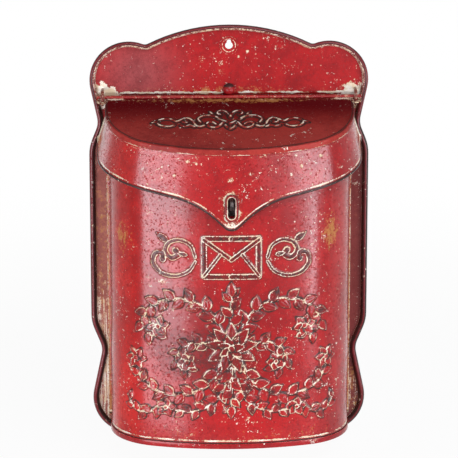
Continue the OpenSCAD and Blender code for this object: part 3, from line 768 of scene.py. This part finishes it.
lip = bow(MOUTH_REAR, (40, 30, 6))
turn = np.linspace(0, 2 * math.pi, 13)[:, None]
inset = SHEET_T - MOUTH_ROLL_R * np.cos(turn)
lip_z = mouth_z(lip[:, 1]) - MOUTH_ROLL_DROP + MOUTH_ROLL_R * np.sin(turn)
rows = np.stack([lip[:, 0] - lip[:, 2] * inset, lip[:, 1] - lip[:, 3] * inset, lip_z], -1)
marks = {"rub": 0.45, "soot": 0.1, "rust": 0.2}
sheet("mouth_roll", "box", rows, marks, body_paint)

# BOTTOM PAN
# A shallow pressed tray whose lip stands outside the body's lower edge, sprayed with the box and rubbed
# along its edges.
PAN_RED = (0.42, 0.012, 0.015, 1)


def pan_rub(tree):
    return edges(tree, 0.9, 0.5)


pan_paint = paint("pan_paint", 13.3, paint=PAN_RED, rub=pan_rub, rust=0.15, fleck=0.8)
dress("bottom_pan", pan_paint, 0.3)

# LOCK STAPLE
# A zinc-plated steel eye on edge, dull and grimy and painted dark for the shade of the slot it stands in,
# with a flat foot fixed to the body's front by two rivets.
ZINC_SHADED_GREY = (0.11, 0.09, 0.085, 1)
GRIME_BROWN = (0.03, 0.024, 0.022, 1)
zinc = bpy.data.materials.new("staple_steel")
zinc.use_nodes = True
tree = zinc.node_tree
shader = tree.nodes["Principled BSDF"]
at = add(tree, "TexCoord").outputs["Object"]
spots = ramp(tree, noise(tree, at, 240, 4), 0.4, 0.65)
brushed = add(tree, "Mapping", {"Vector": at, "Scale": (60, 900, 900)}).outputs[0]
tree.links.new(mix(tree, spots, ZINC_SHADED_GREY, GRIME_BROWN), shader.inputs["Base Color"])
tree.links.new(blend(tree, (1.0, 0.34), (noise(tree, brushed, 1.0), 0.25)), shader.inputs["Roughness"])
shader.inputs["Metallic"].default_value = 0.9
for node in ("lock_staple", "staple_rivets"):
    dress(node, zinc)

# LID PANEL
# The lid's sloping top: one sheet with its edge turned down, a rolled rear edge, two pierced ears for the
# loops, and a line of traditional scrollwork pressed across the middle. Its paint is darker at the rear as
# painted shade.
LID_REAR_SHADED_MAROON = (0.10, 0.002, 0.004, 1)
LID_FRONT_RED = (0.39, 0.040, 0.032, 1)
LID_ROLL_RED = (0.42, 0.012, 0.014, 1)
LID_SIDE = 3.5
LID_AHEAD = -corners("lid_panel")[0][1] - BODY_DEPTH
LID_REAR_HALF = 113.2
EDGE_BEND = 1.2
EDGE_FALL = 4.2
EDGE_FROM_WALL = 18.5
ROLL_HALF = corners("lid_panel")[1][0]
ROLL_INNER = 116
ROLL_R = 2.2
ROLL_END_R = 0.2
EAR_X = np.mean([corner[0] for corner in corners("hinge_loop_right")])
EAR_AHEAD = 6
EAR_R = 5.2
EAR_HOLE_R = 2.5


# Painted shade: darker towards the rear, where the plate shades the lid and is mirrored in it; the front red
# is a little paler as painted sheen.
def lid_colour(tree):
    return mix(tree, ramp(tree, part_place(tree)[1]["Y"], -20, -64), LID_REAR_SHADED_MAROON, LID_FRONT_RED)


# The top is ruled from points along the hinge to the bowed edge, and then turned down along that edge.
lid_plan = bow(-HINGE[1], (74, 60, 14), LID_SIDE, LID_AHEAD)
reach = lid_plan[-1, 4]
edge_on = np.abs(lid_plan[:, 4]) < reach - 3
flat = lid_plan[:, :2] - EDGE_BEND * lid_plan[:, 2:4] * edge_on[:, None]
flat[:, 1] = np.minimum(flat[:, 1], HINGE[1])
rear_x = LID_REAR_HALF * np.sign(lid_plan[:, 4]) * np.abs(lid_plan[:, 4] / reach) ** 0.92
start = np.c_[rear_x, np.full(len(rear_x), HINGE[1])]
run = np.r_[np.linspace(0, 0.985, 124), 1]
top_xy = start[None] + run[:, None, None] * (flat - start)[None]
x, y = top_xy[..., 0], top_xy[..., 1]

scroll = Emboss(x, -y)
line = dict(height=0.9, foot=0.9, face=0.0, outline=0.0, crest=1.0, spread=1.1)
scrolls = [
    [(0, 44), (1.5, 38), (5, 33.5), (9.5, 33), (11.5, 37), (8.5, 39.5)],
    [(0, 54), (5, 50), (11, 46.5)],
    [(0, 63), (2.5, 60.5), (4.5, 56.5)],
    [(7, 52), (10.5, 58), (15, 60.5), (20, 58), (21, 53), (16.5, 51.5), (13, 55)],
    [(10, 45), (16, 41), (24, 41), (29, 46), (27, 52)],
    [(24, 57), (28, 59), (32, 56), (34, 50), (38, 45), (43, 46), (43.5, 51), (39.5, 52)],
    [(33, 59), (37, 56.5), (41, 58.5), (45, 57)],
    [(44, 47), (49, 50), (53, 47), (59, 45.5), (65, 48), (66.5, 53), (62, 57.5), (55, 58.5), (51, 56)],
]
for m in (-1, 1):
    flip = np.array([m, 1])
    for points in scrolls:
        scroll.stroke(smooth_path(points) * flip, 1.6, 1.2, line)
    scroll.leaf(np.array((15, 40)) * flip, 90 - m * 150, 8, 1.6, line)
    scroll.leaf(np.array((66, 50)) * flip, 90 - m * 70, 7, 1.6, line)
scroll.rub *= 0.68 + 0.5 * np.sin(x * 0.5 + y * 0.3) * np.sin(x * 0.27 - y * 0.45)

top_z = under_lid(y, -0.5 * SHEET_T / math.cos(LID_TILT))
top_rows = np.concatenate([top_xy, (top_z + scroll.high)[..., None]], -1)
bend = np.radians([18, 36, 54, 72, 90])
out = EDGE_BEND * np.r_[np.sin(bend), np.ones(6)][:, None] * edge_on
fall = np.r_[EDGE_BEND * (1 - np.cos(bend)), EDGE_BEND + np.linspace(0.2, 1, 6) * EDGE_FALL][:, None]
edge_x = flat[:, 0] + lid_plan[:, 2] * out
edge_y = flat[:, 1] + lid_plan[:, 3] * out
edge_rows = np.stack([edge_x, edge_y, top_z[-1] - fall], -1)
rows = np.concatenate([top_rows, edge_rows])[::-1]

# Wear of the lid: rubbed on the scrolls, by the ears, along the rear and on the lower lip of the edge.
to_edge = (1 - run)[:, None] * np.hypot(*(flat - start).T)
rub = np.maximum.reduce(
    [
        scroll.rub,
        0.66 * hill(-y, 12, 3) * np.clip((np.abs(x) - 84) / 16, 0, 1),
        0.36 * hill(to_edge, 0.6, 0.8),
        0.40 * hill(-y, 13.5, 4),
    ]
)
soot = np.maximum(scroll.soot, 0.9 * hill(to_edge, 1.2, 0.8))
rust = 0.03 + 0.62 * hill(-y, 14.5, 5) * np.clip(1.5 - np.abs(x) / 80, 0, 1)
uneven = 0.7 + 0.3 * np.sin(lid_plan[:, 4] * 0.19) * np.sin(lid_plan[:, 4] * 0.063 + 1)
edge_rub = np.r_[0.3, 0.2, 0.15, 0.15, 0.1, 0.1, 0.1, 0.1, 0.15, 0.5, 0.85][:, None] * uneven
edge_soot = np.r_[0.85, 0.7, 0.4, np.zeros(8)][:, None] * uneven
edge_rust = np.full(edge_rub.shape, 0.1)
marks = {
    "rub": np.concatenate([rub, edge_rub])[::-1],
    "soot": np.concatenate([soot, edge_soot])[::-1],
    "rust": np.concatenate([rust, edge_rust])[::-1],
}
skip = np.zeros((len(rows) - 1, len(lid_plan) - 1), bool)
skip[: len(edge_rows)] = -(lid_plan[:-1, 1] + lid_plan[1:, 1]) / 2 < EDGE_FROM_WALL
lid_paint = paint("lid_paint", 17.9, 0.04, 0.04, paint=lid_colour, fleck=0.45, pits=0.4, **masks)
lid_top = sheet("lid_top", "lid", rows, marks, lid_paint, skip, inner_paint)
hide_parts("lid_panel")

turn = np.radians(np.linspace(0, 360, 41))[:, None]
half_roll = np.array([(ROLL_INNER, ROLL_R), (ROLL_HALF, ROLL_R), (ROLL_HALF, ROLL_END_R)])
along, radius = np.vstack([half_roll[::-1] * [-1, 1], [(0, ROLL_R)], half_roll]).T
around = [np.cos(turn) * radius + HINGE[1], np.sin(turn) * radius + HINGE[2]]
rows = np.stack([np.broadcast_to(along, around[0].shape), *around], -1)[::-1]
roll_paint = paint("lid_roll_paint", 16.3, paint=LID_ROLL_RED, rub=0.38, rust=0.2)
roll = sheet("lid_roll", "lid", rows, {}, roll_paint)
roll.modifiers.new("split", "EDGE_SPLIT").split_angle = math.radians(40)

tilt = np.array(Matrix.Rotation(LID_TILT, 3, "X"))
radius = np.array([EAR_HOLE_R, EAR_R, EAR_R, EAR_HOLE_R, EAR_HOLE_R])
level = np.array([-0.5, -0.5, 0.5, 0.5, -0.5]) * SHEET_T
around = [np.cos(turn) * radius, np.sin(turn) * radius]
ring = np.stack([*around, np.broadcast_to(level, around[0].shape)], -1)
for m, name in ((-1, "lid_ear_left"), (1, "lid_ear_right")):
    rows = (ring + [m * EAR_X, -EAR_AHEAD, 0]) @ tilt.T + [0, HINGE[1], HINGE[2]]
    ear = sheet(name, "lid", rows, {"rub": 0.52, "soot": 0.2, "rust": 0.2}, lid_paint)
    ear.modifiers.new("split", "EDGE_SPLIT").split_angle = math.radians(40)

# LID APRON
# The envelope-shaped front flap: a bowed sheet hung inside the top's turned-down edge, flaring towards its
# foot, with a folded hem along the curved lower edge and a slot for the padlock staple in its tongue.
APRON_REAR = 19
APRON_STEPS = (90, 56, 10)
HEAD_SIDE = LID_SIDE - SHEET_T - WELD_GAP
HEAD_AHEAD = LID_AHEAD - SHEET_T - WELD_GAP
FOOT_SIDE = 10.5
FOOT_AHEAD = 8.5
TIP_Z = FLOOR[2] + corners("lid_apron")[0][2]
TIP_R = 9
FLANK = 11
BEND_R = 80
REAR_CORNER_R = 16
STEEP, GENTLE = math.radians(43), math.radians(11)
KNEE_DROP = 0.58
UPRIGHT = 6.5
HEM_MIDDLE = 1.2
HEM_HALF = 1.3
HEM_PROUD = 0.75
SLOT_Z = 232.7
SLOT_R = 3
SLOT_HALF = 6.5
SLOT_ROOM = 1.1
head_plan = bow(APRON_REAR, APRON_STEPS, HEAD_SIDE, HEAD_AHEAD)
foot_plan = bow(APRON_REAR, APRON_STEPS, FOOT_SIDE, FOOT_AHEAD)

# Lower edge from the middle outwards: round tip, steep flank, bend, gentle rise and round rear corner.
s = np.abs(foot_plan[:, 4])
tip = (TIP_R * math.sin(STEEP), TIP_Z + TIP_R * (1 - math.cos(STEEP)))
flank = (tip[0] + FLANK * math.cos(STEEP), tip[1] + FLANK * math.sin(STEEP))
rise_s = flank[0] + BEND_R * (math.sin(STEEP) - math.sin(GENTLE))
rise_z = flank[1] + BEND_R * (math.cos(GENTLE) - math.cos(STEEP))
bent = np.arcsin(np.clip(math.sin(STEEP) - (s - flank[0]) / BEND_R, math.sin(GENTLE), math.sin(STEEP)))
low = np.select(
    [s < tip[0], s < flank[0], s < rise_s],
    [
        TIP_Z + TIP_R - np.sqrt(np.maximum(TIP_R**2 - s**2, 0)),
        tip[1] + (s - tip[0]) * math.tan(STEEP),
        flank[1] + BEND_R * (np.cos(bent) - math.cos(STEEP)),
    ],
    rise_z + (s - rise_s) * math.tan(GENTLE),
)
into_corner = np.maximum(0, s - (s[-1] - REAR_CORNER_R))
low = low + REAR_CORNER_R - np.sqrt(np.maximum(REAR_CORNER_R**2 - into_corner**2, 0))

# Rows from the hem up to the knee, where the flare ends, and on behind the top's turned-down edge.
knee = under_lid(head_plan[:, 1], KNEE_DROP + UPRIGHT)
up = np.r_[0, 0.3, 0.8, 1.4, 2.0, 2.5, 2.9, 3.3, 3.8, 4.4, 5.2, 6.2][:, None]
share = np.linspace(0, 1, 60)[1:, None]
upright = np.linspace(0, UPRIGHT, 5)[1:, None]
z = np.vstack([low + up, low + up[-1] + share * (knee - low - up[-1]), knee + upright])
flare = np.clip((knee - z) / (knee - low), 0, 1)[..., None]
lift = z - low
bead = HEM_PROUD * np.sqrt(np.clip(1 - ((lift - HEM_MIDDLE) / HEM_HALF) ** 2, 0, 1))[..., None]
xy = head_plan[None, :, :2] + flare * (foot_plan - head_plan)[None, :, :2] + head_plan[None, :, 2:4] * bead
rows = np.concatenate([xy, z[..., None]], -1)

# Wear of the flap: rubbed above the hem, on the tongue, at the rear edges, along the knee, round the slot
# and in knocks, given by x, height and reach; glazed on the hem, there partly as painted shade under it, and
# by the rear edges.
x = rows[..., 0]
rear = (s[-1] - s)[None, :] * np.ones_like(z)
to_tip = np.hypot(x, z - TIP_Z)
to_slot = np.hypot(x, np.maximum(np.abs(z - SLOT_Z) - SLOT_HALF, 0))
uneven = 0.72 + 0.28 * np.sin(foot_plan[:, 4] * 0.16 + 1) * np.sin(foot_plan[:, 4] * 0.071 + 2)
around = 0.8 + 0.2 * np.sin(3 * np.arctan2(z - 229, x) + 2)
above_hem = np.clip((lift - 1.8) / 1.2, 0, 1)
rub = np.maximum.reduce(
    [
        0.95 * uneven * hill(lift, 3.7, 1.1),
        0.48 * hill(lift, 4.5, 3.0) * hill(to_tip, 0, 40) * above_hem,
        0.62 * hill(to_tip, 6, 7) * above_hem,
        0.78 * hill(rear, 0, 1.4 + 1.7 * np.clip((z - 280) / 14, 0, 1)),
        0.40 * hill(z - knee, 0, 1.2),
        0.74 * around * hill(to_slot, 6.9, 1.3) * above_hem,
        0.36 * hill(to_slot, 8, 5) * above_hem,
    ]
)
knocks = [(18, 264, 3.64), (81, 277, 3.08), (64, 269, 2.8), (47, 270, 2.24), (36, 267, 2.52)]
knocks += [(54, 262, 2.52), (30, 281, 2.8), (58, 279, 2.52), (-1, 258, 3.36), (-40, 275, 2.38)]
knocks += [(-52, 262, 2.52), (72, 262, 2.24)]
for knock_x, knock_z, knock_r in knocks:
    rub = np.maximum(rub, 0.62 * hill(np.hypot(x - knock_x, z - knock_z), 0, knock_r))
soot = np.maximum(hill(lift, 0.8, 1.9), 0.4 * hill(rear, 3.2, 1.2))
rust = 0.05 + 0.35 * hill(rear, 4, 9) + 0.2 * hill(lift, 5, 5)
middle = (rows[:-1, :-1] + rows[1:, 1:]) / 2
slot_across = np.abs(middle[..., 0]) < SLOT_R + SLOT_ROOM
slot_along = np.abs(middle[..., 2] - SLOT_Z) < SLOT_HALF + SLOT_R + SLOT_ROOM
skip = slot_across & slot_along
marks = {"rub": rub, "soot": soot, "rust": rust}
apron_paint = paint("apron_paint", 19.1, 0.70, paint=body_colour, fleck=1.0, pits=1.0, **masks)
flap = sheet("flap", "lid", rows, marks, apron_paint, skip, inner_paint)
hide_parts("lid_apron")

# SLOT EYELET
# A pressed oval grommet that lines the padlock slot, worn bright on its lips and painted dark inside as
# shade.
EYELET_RED = (0.34, 0.022, 0.024, 1)


def from_slot(tree):
    """Distance in mm from the slot's edge, in the flap's face."""
    place = part_place(tree)[1]
    along = calc(tree, "ABSOLUTE", calc(tree, "ADD", place["Z"], FLOOR[2] - SLOT_Z))
    along = most(tree, calc(tree, "SUBTRACT", along, SLOT_HALF), 0.0)
    flat = add(tree, "CombineXYZ", {"X": place["X"], "Y": along}).outputs[0]
    return calc(tree, "SUBTRACT", measure(tree, "LENGTH", flat), SLOT_R)


def eyelet_rub(tree):
    lips = times(tree, band(tree, from_slot(tree), 0.9, 0.7), 0.68)
    return most(tree, lips, edges(tree, 0.6, 0.55))


def eyelet_shade_and_glaze(tree):
    # Painted shade inside the slot, and a dark glazed ring round it.
    gap = from_slot(tree)
    return most(tree, ramp(tree, gap, 0.5, 0.2), times(tree, band(tree, gap, 3.0, 0.6), 0.7))


eyelet_paint = paint("eyelet_paint", 23.3, paint=EYELET_RED, rub=eyelet_rub, soot=eyelet_shade_and_glaze, rust=0.1)
dress("slot_eyelet", eyelet_paint, 0.35)

# STUDIO
# Pale table with its front edge just before the box, and an even white surround that reflections see about
# half as bright. Soft lights stand left and right, at heights that body and flap mirror, and high in front.
TABLE = 16
TABLE_EDGE_Y = -0.19
WHITE = (1, 1, 1, 1)
PALE = (0.9, 0.9, 0.9, 1)
LAMP_WHITE = (0.90, 0.93, 1.0)
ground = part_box("back_plate")[0].z
bpy.ops.mesh.primitive_plane_add(size=TABLE, location=(0, TABLE_EDGE_Y + TABLE / 2, ground))
floor = bpy.context.object
floor.name = "floor"
pale = bpy.data.materials.new("floor_white")
pale.use_nodes = True
tree = pale.node_tree
matte = tree.nodes["Principled BSDF"]
matte.inputs["Base Color"].default_value = PALE
matte.inputs["Roughness"].default_value = 0.95
ways = add(tree, "LightPath").outputs
seen = most(tree, ways["Is Camera Ray"], ways["Is Transmission Ray"], ways["Is Glossy Ray"])
away = measure(tree, "LENGTH", add(tree, "NewGeometry").outputs["Position"])
plain = blend(tree, (1.0, 0.95), (ramp(tree, away, 0.5, 1.1), 0.05))
glow = add(tree, "Emission", {"Color": WHITE, "Strength": 1.0})
both = add(tree, "MixShader", {0: times(tree, seen, plain), 1: matte.outputs[0], 2: glow.outputs[0]})
tree.links.new(both.outputs[0], tree.nodes["Material Output"].inputs["Surface"])
floor.data.materials.append(pale)

world = bpy.data.worlds.new("surround")
world.use_nodes = True
tree = world.node_tree
sky = tree.nodes["Background"]
sky.inputs["Color"].default_value = WHITE
ways = add(tree, "LightPath").outputs
mirrored = times(tree, ways["Is Glossy Ray"], 0.5)
seen = most(tree, ways["Is Camera Ray"], ways["Is Transmission Ray"], mirrored)
tree.links.new(blend(tree, (seen, 0.86), (1.0, 0.14)), sky.inputs["Strength"])
scene.world = world


def softbox(name, azimuth, distance, low, high, width, power):
    """An upright soft light at an angle from the front, between two heights."""
    lamp = bpy.data.lights.new(name, "AREA")
    lamp.shape = "RECTANGLE"
    lamp.size = width
    lamp.size_y = high - low
    lamp.energy = power
    lamp.color = LAMP_WHITE
    made = bpy.data.objects.new(name, lamp)
    a = math.radians(azimuth)
    made.location = (distance * math.sin(a), -distance * math.cos(a) - 0.05, (low + high) / 2)
    made.rotation_euler = (math.pi / 2, 0, a)
    scene.collection.objects.link(made)


softbox("key_left", -37, 1.25, -0.56, -0.05, 0.76, 11.0)
softbox("key_low", -37, 1.25, ground - 0.45, -0.56, 0.76, 3.9)
softbox("strip_right", 48, 1.25, -0.36, -0.05, 0.86, 8.2)
softbox("strip_low", 45, 1.25, -0.60, -0.42, 0.29, 2.0)
softbox("fill_right", 21, 1.25, -0.36, -0.05, 0.42, 0.6)
softbox("side_left", -130, 1.25, ground - 0.45, -0.05, 0.45, 1.2)
softbox("high_front", 26, 1.3, 0.8, 1.5, 1.6, 24.5)

# The camera looks down a little, from a long way off; its focal length is in pixels of the photo's frame.
SENSOR_MM = 36
FRAME_PX = 458
FOCAL_PX = 2917
CAMERA_AWAY = 2.7
RAISED = math.radians(15.5)
TURNED = math.radians(-1.46)
MIDDLE = Vector((0, -0.040, -0.172))
AIM_RIGHT = -0.00088
AIM_UP = 0.0066
eye = bpy.data.cameras.new("photo_camera")
eye.sensor_width = SENSOR_MM
eye.sensor_fit = "HORIZONTAL"
eye.lens = SENSOR_MM * FOCAL_PX / FRAME_PX
camera = bpy.data.objects.new("photo_camera", eye)
back = Vector((math.sin(TURNED) * math.cos(RAISED), -math.cos(TURNED) * math.cos(RAISED), math.sin(RAISED)))
right = Vector((0, 0, 1)).cross(back).normalized()
aim = MIDDLE + right * AIM_RIGHT + back.cross(right) * AIM_UP
camera.location = aim + back * CAMERA_AWAY
camera.rotation_euler = back.to_track_quat("Z", "Y").to_euler()
scene.collection.objects.link(camera)
scene.camera = camera
scene.view_settings.view_transform = "Standard"
